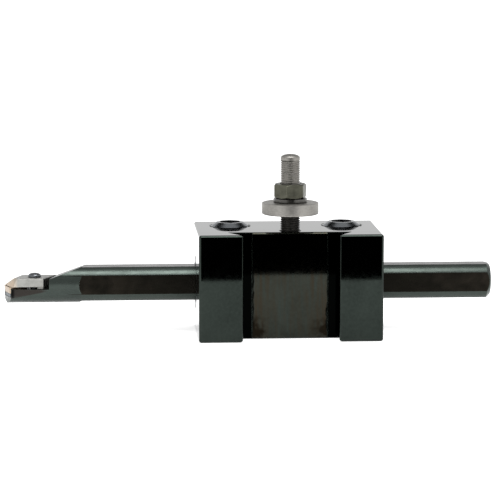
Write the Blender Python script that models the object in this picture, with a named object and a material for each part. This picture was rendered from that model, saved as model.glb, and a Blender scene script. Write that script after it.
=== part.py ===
"""Boring bar holder for a quick change tool post, with its boring bar and clamped insert.

Metres, +Z up. X runs along the bar with the cutting head at -X, the dovetail faces -Y,
and the origin is the centre of the block's underside.
"""

import math

import bmesh
import bpy

MM = 0.001

# Clearances
RUNNING_GAP = 0.3 * MM
STACK_GAP = 0.1 * MM

# Holder block
BLOCK_LENGTH = 88.9 * MM
BLOCK_DEPTH = 54.0 * MM
BLOCK_HEIGHT = 52.0 * MM
BLOCK_BEVEL = 0.8 * MM
SLOT_MOUTH = 45.6 * MM
SLOT_DEPTH = 10.4 * MM
DOVETAIL_ANGLE = math.radians(60.0)
SLOT_PAD_WIDTH = 36.6 * MM
SLOT_RELIEF = 0.4 * MM
BORE_CHAMFER = 0.6 * MM
HOLE_CHAMFER = 0.5 * MM

# Boring bar and the sleeve that it is held in
BAR_RADIUS = 9.525 * MM
BAR_LENGTH = 239.4 * MM
BAR_BEHIND_FRONT = 36.5 * MM
BAR_HEIGHT = 24.3 * MM
BAR_OVERHANG = 93.9 * MM
BAR_END_CHAMFER = 2.0 * MM
BAR_NOSE_CHAMFER = 1.5 * MM
FLAT_DEPTH = 1.2 * MM
FLAT_START = 36.6 * MM
FLAT_CUTTER_RADIUS = 8.0 * MM
SLEEVE_WALL = 2.575 * MM
SLEEVE_SLIT = 1.6 * MM
SLEEVE_CHAMFER = 0.4 * MM

# Clamping screws over the bar
SCREW_RADIUS = 9.525 * MM
SCREW_SPACING = 55.0 * MM
SCREW_PROUD = 2.0 * MM
SCREW_TOP_FLAT = 6.5 * MM
SCREW_TOP_CHAMFER = 1.9 * MM
SCREW_TIP_CHAMFER = 1.5 * MM
SCREW_SOCKET = 9.6 * MM
SCREW_SOCKET_DEPTH = 8.0 * MM

# Height stud with its wheel, lock washer and nut
STUD_RADIUS = 4.7625 * MM
STUD_BEHIND_FRONT = 16.4 * MM
STUD_OFF_MIDDLE = 0.5 * MM
STUD_STANDOUT = 37.4 * MM
STUD_DOME = 1.8 * MM
STUD_DEPTH = 16.0 * MM
STUD_BORE_WALL = 3.0 * MM
WHEEL_LIFT = 8.3 * MM
WHEEL_RADIUS = 13.7 * MM
WHEEL_THICKNESS = 5.6 * MM
WHEEL_CHAMFER = 0.6 * MM
WASHER_RADIUS = 8.1 * MM
WASHER_THICKNESS = 1.7 * MM
WASHER_SLIT = 1.6 * MM
NUT_FLATS = 14.2 * MM
NUT_THICKNESS = 6.8 * MM
NUT_CHAMFER = 0.7 * MM
NUT_TURN = math.radians(13.9)

# Cutting head, measured from the tip of the insert and from the bar's axis
INSERT_SIDE = 9.525 * MM
INSERT_THICKNESS = 3.18 * MM
INSERT_CORNER = 0.8 * MM
INSERT_RELIEF = math.radians(11.0)
INSERT_SKEW = math.radians(18.0)
INSERT_WALL = 3.1 * MM
CUTTING_EDGE_DROP = 1.1 * MM
SEAT_THICKNESS = 1.6 * MM
SEAT_INSET = 0.7 * MM
POCKET_GAP = 0.25 * MM
NOSE_SETBACK = 0.6 * MM
WALL_END_TOP = 4.4 * MM
WALL_END_FOOT = 2.7 * MM
WALL_END_INSET = 1.2 * MM
HEAD_TOP = 3.35 * MM
HEAD_SLOPE_START = 25.0 * MM
HEAD_SLOPE = math.radians(20.8)
HEAD_SKEW = math.radians(14.8)
HEEL_DROP = 1.9 * MM
HEEL_WALL = 24.6 * MM
SIDE_RELIEF_INSET = 2.4 * MM
SIDE_RELIEF_RUNOUT = 22.0 * MM

# Top clamp and its screw
CLAMP_WIDTH = 13.4 * MM
CLAMP_REAR = 19.4 * MM
CLAMP_REAR_SKEW = math.radians(25.0)
CLAMP_CORNER = 1.6 * MM
CLAMP_LAND = 0.4 * MM
CLAMP_INSET = 1.9 * MM
CLAMP_SLOPE_NEAR = 1.8 * MM
CLAMP_SLOPE_FAR = 5.6 * MM
CLAMP_RELIEF = 0.1 * MM
CLAMP_NOSE_PAD = 3.2 * MM
CLAMP_HEEL_LENGTH = 3.1 * MM
CLAMP_BEVEL = 0.25 * MM
CLAMP_SCREW_BEHIND = 5.475 * MM
CLAMP_SCREW_RADIUS = 2.0 * MM
CLAMP_SCREW_HEAD = 3.25 * MM
CLAMP_SCREW_HEIGHT = 1.7 * MM
CLAMP_SCREW_SOCKET = 2.5 * MM
CLAMP_SCREW_SOCKET_DEPTH = 1.1 * MM
CLAMP_SCREW_WALL = 1.8 * MM

ROUND_STEPS = 96
SMALL_STEPS = 48
OVERCUT = 4.0 * MM

# Places that follow from the sizes above
BLOCK_FRONT = -BLOCK_DEPTH / 2
SLOT_FLOOR = BLOCK_FRONT + SLOT_DEPTH
SLOT_FLOOR_HALF = SLOT_MOUTH / 2 + SLOT_DEPTH / math.tan(DOVETAIL_ANGLE)
BAR_Y = BLOCK_FRONT + BAR_BEHIND_FRONT
TIP_X = -BLOCK_LENGTH / 2 - BAR_OVERHANG
SLEEVE_BORE = BAR_RADIUS + RUNNING_GAP
SLEEVE_RADIUS = SLEEVE_BORE + SLEEVE_WALL
BORE_RADIUS = SLEEVE_RADIUS + RUNNING_GAP
SCREW_HOLE = SCREW_RADIUS + RUNNING_GAP
SCREW_BOTTOM = BAR_HEIGHT + SLEEVE_RADIUS + RUNNING_GAP
SCREW_TOP = BLOCK_HEIGHT + SCREW_PROUD
STUD_X = STUD_OFF_MIDDLE
STUD_Y = BLOCK_FRONT + STUD_BEHIND_FRONT
STUD_HOLE = STUD_RADIUS + RUNNING_GAP
STUD_TOP = BLOCK_HEIGHT + STUD_STANDOUT
WHEEL_BOTTOM = BLOCK_HEIGHT + WHEEL_LIFT
WASHER_BOTTOM = WHEEL_BOTTOM + WHEEL_THICKNESS + RUNNING_GAP
NUT_BOTTOM = WASHER_BOTTOM + WASHER_THICKNESS + RUNNING_GAP

# Places on the cutting head
INSERT_TOP = -CUTTING_EDGE_DROP
INSERT_BOTTOM = INSERT_TOP - INSERT_THICKNESS
SEAT_TOP = INSERT_BOTTOM - STACK_GAP
SEAT_BOTTOM = SEAT_TOP - SEAT_THICKNESS
POCKET_FLOOR = SEAT_BOTTOM - STACK_GAP
HEEL_SEAT = -HEEL_DROP
CORNER_Y = -BAR_RADIUS + INSERT_WALL
CLAMP_TOP = HEAD_TOP
CLAMP_NEAR = -BAR_RADIUS + CLAMP_INSET
CLAMP_FAR = CLAMP_NEAR + CLAMP_WIDTH
CLAMP_SCREW_Y = (CLAMP_NEAR + CLAMP_FAR) / 2
CLAMP_SCREW_BACK = INSERT_SIDE + CLAMP_SCREW_BEHIND


def clear_scene():
    """Remove every object of the scene."""
    for item in list(bpy.data.objects):
        bpy.data.objects.remove(item, do_unlink=True)


def make_material(name, colour, roughness, metallic):
    """Principled material with one colour."""
    material = bpy.data.materials.new(name)
    material.use_nodes = True
    shader = material.node_tree.nodes["Principled BSDF"]
    shader.inputs["Base Color"].default_value = (*colour, 1.0)
    shader.inputs["Roughness"].default_value = roughness
    shader.inputs["Metallic"].default_value = metallic
    return material


def place(item, location=(0.0, 0.0, 0.0), rotation=(0.0, 0.0, 0.0), parent=None):
    """Set an object's place, in its parent's frame when it has one."""
    item.location = location
    item.rotation_euler = rotation
    item.parent = parent
    return item


def add_object(name, bm, material=None):
    """Object from a bmesh with outward faces, shaded smooth across soft edges."""
    bmesh.ops.remove_doubles(bm, verts=bm.verts, dist=0.001 * MM)
    bmesh.ops.recalc_face_normals(bm, faces=bm.faces)
    mesh = bpy.data.meshes.new(name)
    bm.to_mesh(mesh)
    bm.free()
    mesh.shade_smooth()
    mesh.set_sharp_from_angle(angle=math.radians(30.0))
    item = bpy.data.objects.new(name, mesh)
    if material:
        mesh.materials.append(material)
    bpy.context.scene.collection.objects.link(item)
    return item


def turned(name, outline, material=None, steps=ROUND_STEPS, ring=False):
    """Solid turned about Z from (radius, height) points, a ring when it has a hole."""
    bm = bmesh.new()
    points = [bm.verts.new((radius, 0.0, height)) for radius, height in outline]
    pairs = list(zip(points, points[1:]))
    if ring:
        pairs.append((points[-1], points[0]))
    edges = [bm.edges.new(pair) for pair in pairs]
    bmesh.ops.spin(bm, geom=points + edges, cent=(0, 0, 0), axis=(0, 0, 1),
                   angle=math.tau, steps=steps, use_merge=True)
    return add_object(name, bm, material)


def prism(name, outline, bottom, top, material=None, top_scale=1.0):
    """Solid extruded along Z from an outline of (x, y) points."""
    bm = bmesh.new()
    face = bm.faces.new([bm.verts.new((x, y, bottom)) for x, y in outline])
    raised = bmesh.ops.extrude_face_region(bm, geom=[face], use_keep_orig=True)
    upper = [v for v in raised["geom"] if isinstance(v, bmesh.types.BMVert)]
    for vert in upper:
        vert.co.x *= top_scale
        vert.co.y *= top_scale
        vert.co.z = top
    return add_object(name, bm, material)


def hull(name, points, material=None):
    """Convex solid around a set of points."""
    bm = bmesh.new()
    corners = [bm.verts.new(point) for point in points]
    bmesh.ops.convex_hull(bm, input=corners)
    bmesh.ops.dissolve_limit(bm, angle_limit=math.radians(1.0), verts=bm.verts, edges=bm.edges)
    return add_object(name, bm, material)


def bevel(item, width, angle=math.radians(40.0), segments=1):
    """Chamfer the edges that are sharper than an angle."""
    modifier = item.modifiers.new("Edges", "BEVEL")
    modifier.width = width
    modifier.segments = segments
    modifier.limit_method = "ANGLE"
    modifier.angle_limit = angle


def cut(item, tool, operation="DIFFERENCE"):
    """Cut an object with a hidden tool."""
    tool.display_type = "WIRE"
    tool.hide_render = True
    modifier = item.modifiers.new(tool.name, "BOOLEAN")
    modifier.operation = operation
    modifier.solver = "EXACT"
    modifier.object = tool


def arc(radius, start, end, steps, centre=(0.0, 0.0)):
    """Points along an arc."""
    angles = [start + (end - start) * k / steps for k in range(steps + 1)]
    return [(centre[0] + radius * math.cos(a), centre[1] + radius * math.sin(a)) for a in angles]


def hexagon(flats):
    """Corners of a hexagon with a given width across its flats."""
    return arc(flats / math.sqrt(3.0), 0.0, math.tau * 5 / 6, 5)


def rounded_square(half, corner):
    """Outline of a square with round corners."""
    points = []
    for k in range(4):
        turn = math.pi / 2 * k
        reach = (half - corner) * math.sqrt(2.0)
        centre = (reach * math.cos(turn + math.pi / 4), reach * math.sin(turn + math.pi / 4))
        points += arc(corner, turn, turn + math.pi / 2, 5, centre)
    return points


def split_ring(outer, inner, slit):
    """Outline of a ring with a slit that opens toward +Y."""
    out_gap = math.asin(slit / 2 / outer)
    in_gap = math.asin(slit / 2 / inner)
    quarter = math.pi / 2
    outside = arc(outer, quarter + out_gap, quarter + math.tau - out_gap, ROUND_STEPS)
    inside = arc(inner, quarter + math.tau - in_gap, quarter + in_gap, ROUND_STEPS)
    return outside + inside


def block_outline():
    """Plan of the block with the dovetail slot in its front."""
    half = BLOCK_LENGTH / 2
    mouth = SLOT_MOUTH / 2
    return [(-half, -BLOCK_FRONT), (-half, BLOCK_FRONT), (-mouth, BLOCK_FRONT),
            (-SLOT_FLOOR_HALF, SLOT_FLOOR), (SLOT_FLOOR_HALF, SLOT_FLOOR),
            (mouth, BLOCK_FRONT), (half, BLOCK_FRONT), (half, -BLOCK_FRONT)]


def cut_slot_relief(block):
    """Sink both sides of the slot's floor, which leaves a raised pad down its middle."""
    inner = SLOT_PAD_WIDTH / 2
    outer = SLOT_FLOOR_HALF + SLOT_RELIEF
    near = SLOT_FLOOR - SLOT_RELIEF
    far = SLOT_FLOOR + SLOT_RELIEF
    for side, label in ((-1, "left"), (1, "right")):
        outline = [(side * inner, near), (side * outer, near), (side * outer, far), (side * inner, far)]
        tool = prism("slot_relief_" + label, outline, -OVERCUT, BLOCK_HEIGHT + OVERCUT)
        cut(block, tool)


def cut_block_bore(block):
    """Bore for the sleeve along X, chamfered at both mouths."""
    half = BLOCK_LENGTH / 2
    outline = [(0.0, -half - OVERCUT),
               (BORE_RADIUS + BORE_CHAMFER + OVERCUT, -half - OVERCUT),
               (BORE_RADIUS, -half + BORE_CHAMFER),
               (BORE_RADIUS, half - BORE_CHAMFER),
               (BORE_RADIUS + BORE_CHAMFER + OVERCUT, half + OVERCUT),
               (0.0, half + OVERCUT)]
    tool = turned("bore_tool", outline)
    place(tool, (0.0, BAR_Y, BAR_HEIGHT), (0.0, math.pi / 2, 0.0))
    cut(block, tool)


def cut_top_hole(block, name, radius, x, y, bottom):
    """Hole down from the block's top, chamfered at its mouth."""
    outline = [(0.0, bottom),
               (radius, bottom),
               (radius, BLOCK_HEIGHT - HOLE_CHAMFER),
               (radius + HOLE_CHAMFER + OVERCUT, BLOCK_HEIGHT + OVERCUT),
               (0.0, BLOCK_HEIGHT + OVERCUT)]
    tool = turned(name, outline)
    place(tool, (x, y, 0.0))
    cut(block, tool)


def stud_hole_bottom():
    """Height of the stud hole's end, which keeps a wall between it and the bore."""
    beside = BAR_Y - (STUD_Y + STUD_HOLE)
    reach = BORE_RADIUS + STUD_BORE_WALL
    rise = math.sqrt(max(0.0, reach ** 2 - beside ** 2))
    return max(BLOCK_HEIGHT - STUD_DEPTH, BAR_HEIGHT + rise)


def build_block():
    """Holder block with its dovetail slot, bore and holes."""
    steel = make_material("block_steel", (0.035, 0.04, 0.037), 0.35, 0.9)
    block = prism("holder_block", block_outline(), 0.0, BLOCK_HEIGHT, steel)
    bevel(block, BLOCK_BEVEL)
    cut_slot_relief(block)
    cut_block_bore(block)
    for side, label in ((-1, "left"), (1, "right")):
        cut_top_hole(block, "screw_hole_" + label, SCREW_HOLE, side * SCREW_SPACING / 2, BAR_Y, BAR_HEIGHT)
    cut_top_hole(block, "stud_hole", STUD_HOLE, STUD_X, STUD_Y, stud_hole_bottom())


def build_sleeve():
    """Split sleeve that fills the bore around the bar."""
    steel = make_material("sleeve_steel", (0.06, 0.062, 0.06), 0.4, 0.9)
    outline = split_ring(SLEEVE_RADIUS, SLEEVE_BORE, SLEEVE_SLIT)
    half = BLOCK_LENGTH / 2
    sleeve = prism("split_sleeve", outline, -half, half, steel)
    bevel(sleeve, SLEEVE_CHAMFER, math.radians(60.0))
    place(sleeve, (0.0, BAR_Y, BAR_HEIGHT), (0.0, math.pi / 2, 0.0))


def build_clamping_screws():
    """Two socket screws that press on the sleeve from above."""
    steel = make_material("screw_steel", (0.05, 0.05, 0.05), 0.3, 0.95)
    length = SCREW_TOP - SCREW_BOTTOM
    outline = [(0.0, 0.0),
               (SCREW_RADIUS - SCREW_TIP_CHAMFER, 0.0),
               (SCREW_RADIUS, SCREW_TIP_CHAMFER),
               (SCREW_RADIUS, length - SCREW_TOP_CHAMFER),
               (SCREW_TOP_FLAT, length),
               (0.0, length)]
    for side, label in ((-1, "left"), (1, "right")):
        screw = turned("set_screw_" + label, outline, steel)
        place(screw, (side * SCREW_SPACING / 2, BAR_Y, SCREW_BOTTOM))
        socket = prism("socket_" + label, hexagon(SCREW_SOCKET), length - SCREW_SOCKET_DEPTH, length + OVERCUT)
        place(socket, (side * SCREW_SPACING / 2, BAR_Y, SCREW_BOTTOM))
        cut(screw, socket)


def build_stud():
    """Height stud, fixed in the block's top just behind the slot's floor."""
    steel = make_material("stud_steel", (0.22, 0.20, 0.18), 0.4, 0.95)
    foot = stud_hole_bottom() + RUNNING_GAP
    dome = arc(1.0, 0.0, math.pi / 2, 8)
    crown = STUD_TOP - STUD_DOME
    outline = [(0.0, foot), (STUD_RADIUS - STUD_DOME / 2, foot), (STUD_RADIUS, foot + STUD_DOME / 2)]
    outline += [(STUD_RADIUS * across, crown + STUD_DOME * up) for across, up in dome[:-1]]
    outline.append((0.0, STUD_TOP))
    place(turned("height_stud", outline, steel, SMALL_STEPS), (STUD_X, STUD_Y, 0.0))


def build_wheel():
    """Height wheel that rests the holder on the post."""
    steel = make_material("wheel_steel", (0.42, 0.41, 0.38), 0.35, 0.95)
    outline = [(STUD_HOLE, 0.0),
               (WHEEL_RADIUS - WHEEL_CHAMFER, 0.0),
               (WHEEL_RADIUS, WHEEL_CHAMFER),
               (WHEEL_RADIUS, WHEEL_THICKNESS - WHEEL_CHAMFER),
               (WHEEL_RADIUS - WHEEL_CHAMFER, WHEEL_THICKNESS),
               (STUD_HOLE, WHEEL_THICKNESS)]
    wheel = turned("thumbwheel", outline, steel, ring=True)
    place(wheel, (STUD_X, STUD_Y, WHEEL_BOTTOM))


def build_washer():
    """Split lock washer between the wheel and the nut."""
    steel = make_material("washer_steel", (0.10, 0.10, 0.10), 0.4, 0.95)
    outline = split_ring(WASHER_RADIUS, STUD_HOLE, WASHER_SLIT)
    washer = prism("lock_washer", outline, 0.0, WASHER_THICKNESS, steel)
    place(washer, (STUD_X, STUD_Y, WASHER_BOTTOM))


def build_nut():
    """Hexagon lock nut with both ends chamfered."""
    steel = make_material("nut_steel", (0.16, 0.16, 0.14), 0.4, 0.95)
    nut = prism("lock_nut", hexagon(NUT_FLATS), 0.0, NUT_THICKNESS, steel)
    place(nut, (STUD_X, STUD_Y, NUT_BOTTOM), (0.0, 0.0, NUT_TURN))
    inner = NUT_FLATS / 2
    outer = NUT_FLATS
    slope = (outer - inner) * NUT_CHAMFER / (NUT_FLATS / math.sqrt(3.0) - inner)
    outline = [(0.0, 0.0), (inner, 0.0), (outer, slope), (outer, NUT_THICKNESS - slope),
               (inner, NUT_THICKNESS), (0.0, NUT_THICKNESS)]
    if slope * 2 > NUT_THICKNESS:
        reach = inner + (outer - inner) * NUT_THICKNESS / 2 / slope
        outline[2:4] = [(reach, NUT_THICKNESS / 2)]
    cone = turned("nut_chamfers", outline)
    place(cone, (STUD_X, STUD_Y, NUT_BOTTOM))
    cut(nut, cone, "INTERSECT")
    hole = turned("nut_hole", [(0.0, -OVERCUT), (STUD_HOLE, -OVERCUT),
                               (STUD_HOLE, NUT_THICKNESS + OVERCUT), (0.0, NUT_THICKNESS + OVERCUT)])
    place(hole, (STUD_X, STUD_Y, NUT_BOTTOM))
    cut(nut, hole)


def cut_bar_flats(bar, head):
    """Four long flats on the bar, each started by a round cutter."""
    start = FLAT_START + FLAT_CUTTER_RADIUS
    end = BAR_LENGTH + OVERCUT
    outline = arc(FLAT_CUTTER_RADIUS, math.pi / 2, math.pi * 3 / 2, 24, (start, 0.0))
    outline += [(end, -FLAT_CUTTER_RADIUS), (end, FLAT_CUTTER_RADIUS)]
    for k in range(4):
        tool = prism("flat_tool_%d" % k, outline, BAR_RADIUS - FLAT_DEPTH, BAR_RADIUS + OVERCUT)
        place(tool, rotation=(math.pi / 2 * k, 0.0, 0.0), parent=head)
        cut(bar, tool)


def cut_head_top(bar, head):
    """Level the head's top and slope it up to the full bar."""
    slope_end = (BAR_RADIUS + OVERCUT - HEAD_TOP) / math.tan(HEAD_SLOPE)
    reach = HEAD_SLOPE_START + BAR_RADIUS + OVERCUT
    # Drawn in the plane of X and Z, then stood up across the bar and skewed
    outline = [(-reach, HEAD_TOP), (0.0, HEAD_TOP),
               (slope_end, BAR_RADIUS + OVERCUT), (-reach, BAR_RADIUS + OVERCUT)]
    tool = prism("head_top_tool", outline, -reach, reach)
    place(tool, (HEAD_SLOPE_START, 0.0, 0.0), (math.pi / 2, 0.0, -HEAD_SKEW), head)
    cut(bar, tool)


def cut_heel_seat(bar, head):
    """Sink the seat of the clamp's heel, back to a skewed wall."""
    side = BAR_RADIUS + OVERCUT
    lean = side * math.tan(HEAD_SKEW)
    outline = [(-OVERCUT, -side), (HEEL_WALL - lean, -side), (HEEL_WALL + lean, side), (-OVERCUT, side)]
    tool = prism("heel_seat_tool", outline, HEEL_SEAT, HEAD_TOP + OVERCUT / 2)
    place(tool, parent=head)
    cut(bar, tool)


def insert_centre():
    """Middle of the insert, whose near corner stays behind a wall of the bar."""
    reach = INSERT_SIDE / math.sqrt(2.0)
    # The near corner lies on the square's diagonal, three eighths of a turn behind
    angle = INSERT_SKEW + math.pi * 5 / 4
    tip_angle = INSERT_SKEW + math.pi * 3 / 4
    rounding = INSERT_CORNER * (math.sqrt(2.0) * abs(math.cos(tip_angle)) - 1.0)
    x = reach * abs(math.cos(tip_angle)) - rounding
    return x, CORNER_Y - reach * math.sin(angle)


def cut_insert_pocket(bar, head):
    """Pocket for the seat and the insert, open at the end."""
    x, y = insert_centre()
    inner = INSERT_SIDE / 2 + POCKET_GAP
    outer = INSERT_SIDE + OVERCUT
    outline = [(-outer, -inner), (inner, -inner), (inner, inner), (-outer, inner)]
    tool = prism("insert_pocket_tool", outline, POCKET_FLOOR, HEEL_SEAT + OVERCUT / 2)
    place(tool, (x, y, 0.0), (0.0, 0.0, INSERT_SKEW), head)
    cut(bar, tool)


def cut_head_end(bar, head):
    """Trim the end face behind the insert's leading edge."""
    x, y = insert_centre()
    half = INSERT_SIDE / 2
    lead = half - NOSE_SETBACK
    turn_x = x - lead * math.cos(INSERT_SKEW) - half * math.sin(INSERT_SKEW)
    turn_y = y - lead * math.sin(INSERT_SKEW) + half * math.cos(INSERT_SKEW)
    side = BAR_RADIUS + OVERCUT
    near_x = turn_x + (turn_y + side) * math.tan(INSERT_SKEW)
    outline = [(-OVERCUT, -side), (near_x, -side), (turn_x, turn_y), (turn_x, side), (-OVERCUT, side)]
    tool = prism("head_end_tool", outline, -side, side)
    place(tool, parent=head)
    cut(bar, tool)


def cut_wall_end(bar, head):
    """Slope the front end of the wall that stands beside the insert."""
    side = BAR_RADIUS + OVERCUT
    inner = CORNER_Y + WALL_END_INSET / 4
    outer = inner - WALL_END_INSET
    points = []
    for level, end in ((POCKET_FLOOR, WALL_END_FOOT), (HEEL_SEAT, WALL_END_TOP)):
        slant = (end - WALL_END_FOOT + WALL_END_INSET) / WALL_END_INSET
        points += [(end - slant * WALL_END_INSET / 2, inner, level), (end + slant * (outer + side), -side, level),
                   (-OVERCUT, inner, level), (-OVERCUT, -side, level)]
    place(hull("wall_end_tool", points), parent=head)
    cut(bar, bpy.data.objects["wall_end_tool"])


def cut_side_relief(bar, head):
    """Flatten the head's near side, deepest at the insert."""
    side = BAR_RADIUS + OVERCUT
    slope = SIDE_RELIEF_INSET / SIDE_RELIEF_RUNOUT
    near_end = -BAR_RADIUS + SIDE_RELIEF_INSET + slope * OVERCUT
    far_end = -BAR_RADIUS - slope * OVERCUT
    outline = [(-OVERCUT, -side), (SIDE_RELIEF_RUNOUT + OVERCUT, -side),
               (SIDE_RELIEF_RUNOUT + OVERCUT, far_end), (-OVERCUT, near_end)]
    tool = prism("side_relief_tool", outline, -side, side)
    place(tool, parent=head)
    cut(bar, tool)


def clamp_screw_bottom():
    """Depth of the clamp screw's hole, which leaves a wall under it."""
    edge = abs(CLAMP_SCREW_Y) + CLAMP_SCREW_RADIUS + RUNNING_GAP
    return CLAMP_SCREW_WALL - math.sqrt(BAR_RADIUS ** 2 - edge ** 2)


def cut_clamp_screw_hole(bar, head):
    """Hole for the clamp screw in the heel seat."""
    radius = CLAMP_SCREW_RADIUS + RUNNING_GAP
    outline = [(0.0, clamp_screw_bottom()), (radius, clamp_screw_bottom()), (radius, HEAD_TOP), (0.0, HEAD_TOP)]
    tool = turned("clamp_screw_hole", outline, steps=SMALL_STEPS)
    place(tool, (CLAMP_SCREW_BACK, CLAMP_SCREW_Y, 0.0), parent=head)
    cut(bar, tool)


def build_bar(head):
    """Boring bar with its flats and its cutting head."""
    steel = make_material("bar_steel", (0.04, 0.045, 0.042), 0.35, 0.9)
    outline = [(0.0, 0.0),
               (BAR_RADIUS - BAR_NOSE_CHAMFER, 0.0),
               (BAR_RADIUS, BAR_NOSE_CHAMFER),
               (BAR_RADIUS, BAR_LENGTH - BAR_END_CHAMFER),
               (BAR_RADIUS - BAR_END_CHAMFER, BAR_LENGTH),
               (0.0, BAR_LENGTH)]
    bar = turned("boring_bar", outline, steel)
    place(bar, rotation=(0.0, math.pi / 2, 0.0), parent=head)
    cut_bar_flats(bar, head)
    cut_head_top(bar, head)
    cut_heel_seat(bar, head)
    cut_insert_pocket(bar, head)
    cut_head_end(bar, head)
    cut_wall_end(bar, head)
    cut_side_relief(bar, head)
    cut_clamp_screw_hole(bar, head)


def build_insert(head):
    """Square insert with relieved flanks and the seat below it."""
    carbide = make_material("insert_carbide", (0.45, 0.38, 0.28), 0.35, 0.8)
    seat_carbide = make_material("seat_carbide", (0.25, 0.26, 0.27), 0.4, 0.9)
    x, y = insert_centre()
    half = INSERT_SIDE / 2
    foot = half - INSERT_THICKNESS * math.tan(INSERT_RELIEF)
    outline = [(px * foot / half, py * foot / half) for px, py in rounded_square(half, INSERT_CORNER)]
    insert = prism("cutting_insert", outline, INSERT_BOTTOM, INSERT_TOP, carbide, half / foot)
    place(insert, (x, y, 0.0), (0.0, 0.0, INSERT_SKEW), head)
    seat = prism("insert_seat", rounded_square(half - SEAT_INSET, INSERT_CORNER), SEAT_BOTTOM, SEAT_TOP,
                 seat_carbide)
    place(seat, (x, y, 0.0), (0.0, 0.0, INSERT_SKEW), head)


def insert_edge(y, setback=0.0):
    """Distance from the tip to a line behind the insert's leading edge, at a width."""
    x, centre_y = insert_centre()
    middle = x - (INSERT_SIDE / 2 - setback) / math.cos(INSERT_SKEW)
    return middle - (y - centre_y) * math.tan(INSERT_SKEW)


def clamp_rear(y):
    """Distance from the tip to the clamp's skewed rear end, at a width."""
    return CLAMP_REAR + (y - CLAMP_NEAR) * math.tan(CLAMP_REAR_SKEW)


def clamp_body(name, material):
    """Clamp whose nose slopes down to a point over the insert's tip."""
    low = INSERT_TOP + STACK_GAP
    inner = CLAMP_NEAR + CLAMP_CORNER
    point_y = CORNER_Y + INSERT_SIDE * math.cos(INSERT_SKEW)
    front = insert_edge(inner, CLAMP_LAND)
    point = insert_edge(point_y, CLAMP_LAND)
    far = point + CLAMP_FAR - point_y
    outline = [(front + CLAMP_CORNER, CLAMP_NEAR, low), (front, inner, low),
               (point, point_y, low), (far, CLAMP_FAR, low),
               (front + CLAMP_CORNER + CLAMP_SLOPE_NEAR, CLAMP_NEAR, CLAMP_TOP),
               (front + CLAMP_SLOPE_NEAR, inner, CLAMP_TOP),
               (far + CLAMP_SLOPE_FAR, CLAMP_FAR, CLAMP_TOP)]
    outline += [(clamp_rear(side), side, level) for side in (CLAMP_NEAR, CLAMP_FAR) for level in (low, CLAMP_TOP)]
    return hull(name, outline, material)


def clamp_strip(front, back, spare):
    """Plan of a strip across the clamp whose ends are given at both of its sides."""
    near = CLAMP_NEAR - spare
    far = CLAMP_FAR + spare
    return [(front(near), near), (back(near), near), (back(far), far), (front(far), far)]


def build_clamp(head):
    """Top clamp that bears on the insert in front and on its heel behind."""
    steel = make_material("clamp_steel", (0.30, 0.30, 0.28), 0.4, 0.95)
    clamp = clamp_body("top_clamp", steel)
    place(clamp, parent=head)
    bevel(clamp, CLAMP_BEVEL)
    low = INSERT_TOP + STACK_GAP
    relief = prism("clamp_relief_tool",
                   clamp_strip(lambda y: insert_edge(y, -CLAMP_NOSE_PAD),
                               lambda y: clamp_rear(y) - CLAMP_HEEL_LENGTH, OVERCUT),
                   low - OVERCUT, low + CLAMP_RELIEF)
    place(relief, parent=head)
    cut(clamp, relief)
    heel = prism("clamp_heel_tool",
                 clamp_strip(lambda y: clamp_rear(y) - CLAMP_HEEL_LENGTH,
                             lambda y: clamp_rear(y) - CLAMP_BEVEL, -CLAMP_BEVEL),
                 HEEL_SEAT + STACK_GAP, low + CLAMP_RELIEF)
    place(heel, parent=head)
    cut(clamp, heel, "UNION")
    radius = CLAMP_SCREW_RADIUS + RUNNING_GAP
    hole = turned("clamp_hole", [(0.0, HEEL_SEAT - OVERCUT), (radius, HEEL_SEAT - OVERCUT),
                                 (radius, CLAMP_TOP + OVERCUT), (0.0, CLAMP_TOP + OVERCUT)], steps=SMALL_STEPS)
    place(hole, (CLAMP_SCREW_BACK, CLAMP_SCREW_Y, 0.0), parent=head)
    cut(clamp, hole)


def build_clamp_screw(head):
    """Button head screw through the clamp."""
    steel = make_material("clamp_screw_steel", (0.08, 0.08, 0.075), 0.35, 0.95)
    foot = clamp_screw_bottom() + RUNNING_GAP
    seat = CLAMP_TOP + STACK_GAP
    rim = seat + CLAMP_SCREW_HEIGHT / 4
    crown = seat + CLAMP_SCREW_HEIGHT
    flat = CLAMP_SCREW_HEAD / 2
    dome = arc(1.0, 0.0, math.pi / 2, 8)
    outline = [(0.0, foot), (CLAMP_SCREW_RADIUS, foot), (CLAMP_SCREW_RADIUS, seat), (CLAMP_SCREW_HEAD, seat)]
    outline += [(flat + (CLAMP_SCREW_HEAD - flat) * across, rim + (crown - rim) * up) for across, up in dome]
    outline.append((0.0, crown))
    screw = turned("clamp_screw", outline, steel, SMALL_STEPS)
    place(screw, (CLAMP_SCREW_BACK, CLAMP_SCREW_Y, 0.0), parent=head)
    socket = prism("clamp_screw_socket", hexagon(CLAMP_SCREW_SOCKET), crown - CLAMP_SCREW_SOCKET_DEPTH,
                   crown + OVERCUT)
    place(socket, (CLAMP_SCREW_BACK, CLAMP_SCREW_Y, 0.0), parent=head)
    cut(screw, socket)


def main():
    """Build every piece."""
    clear_scene()
    build_block()
    build_sleeve()
    build_clamping_screws()
    build_stud()
    build_wheel()
    build_washer()
    build_nut()
    head = bpy.data.objects.new("bar_axis_at_tip", None)
    bpy.context.scene.collection.objects.link(head)
    place(head, (TIP_X, BAR_Y, BAR_HEIGHT))
    build_bar(head)
    build_insert(head)
    build_clamp(head)
    build_clamp_screw(head)


main()
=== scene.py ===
"""Looks of a boring bar holder with its boring bar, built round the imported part."""

import math

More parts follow.
